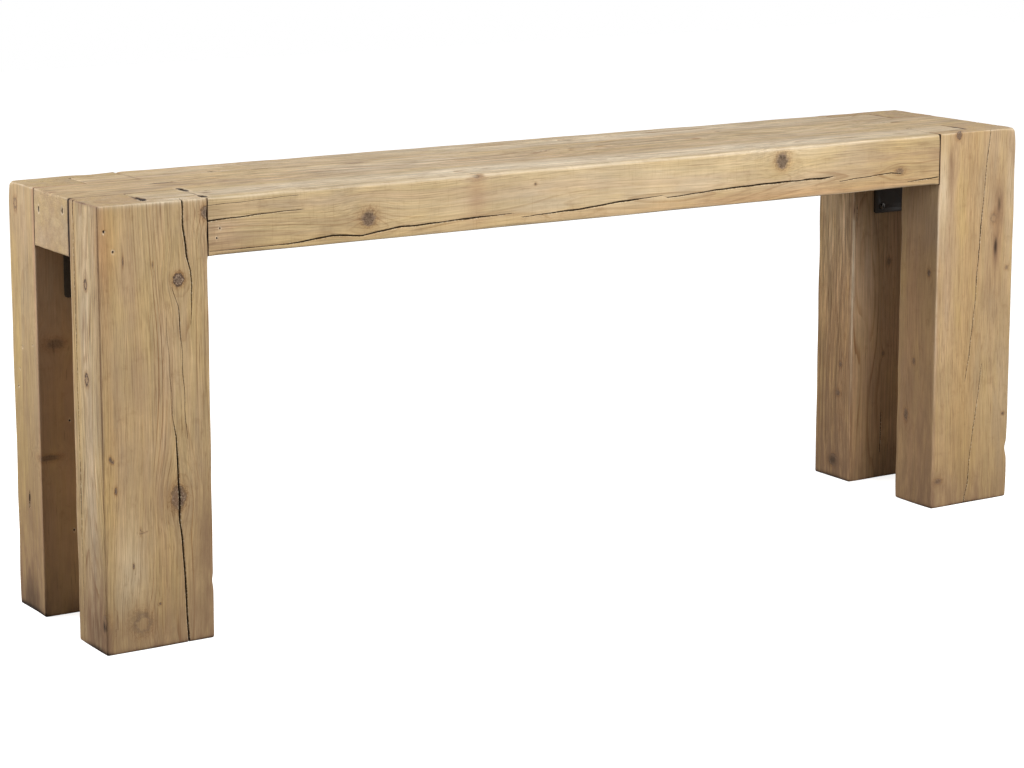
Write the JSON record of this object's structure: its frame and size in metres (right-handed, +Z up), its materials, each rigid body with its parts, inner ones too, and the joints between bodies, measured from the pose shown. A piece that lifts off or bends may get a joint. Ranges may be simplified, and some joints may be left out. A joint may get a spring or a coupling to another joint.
{
  "type": "console table",
  "caption": "Long narrow console table of heavy reclaimed timber: a top of beams laid side by side, broad legs, tongue joints and steel angle brackets under the top.",
  "frame": {"origin": "on the floor, at the middle of the table's footprint", "axes": "+X along the length to the right, +Y to the back, +Z up; the front faces -Y"},
  "size_m": [2, 0.375, 0.76],
  "materials": {
    "reclaimed_pine": "old sawn pine, planed and brushed, with knots and open checks, matt clear oil",
    "black_steel": "thick hot-rolled steel angle with a thin satin black coat",
    "screw_steel": "darkened zinc plating with bright worn edges",
    "beech": "plain turned beech, glued in"
  },
  "bodies": {
    "root": {"front_beam": "reclaimed_pine", "middle_beam": "reclaimed_pine", "rear_beam": "reclaimed_pine", "leg_front_left": "reclaimed_pine", "leg_front_right": "reclaimed_pine", "leg_rear_left": "reclaimed_pine", "leg_rear_right": "reclaimed_pine", "bracket_front_left": "black_steel", "bracket_front_right": "black_steel", "bracket_rear_left": "black_steel", "bracket_rear_right": "black_steel", "leg_screws_front_left": "screw_steel", "leg_screws_front_right": "screw_steel", "leg_screws_rear_left": "screw_steel", "leg_screws_rear_right": "screw_steel", "beam_screws_front_left": "screw_steel", "beam_screws_front_right": "screw_steel", "beam_screws_rear_left": "screw_steel", "beam_screws_rear_right": "screw_steel", "tongue_screws_front_left": "screw_steel", "tongue_screws_front_right": "screw_steel", "tongue_screws_rear_left": "screw_steel", "tongue_screws_rear_right": "screw_steel", "dowels_front": "beech", "dowels_rear": "beech"}
  },
  "joints": []
}
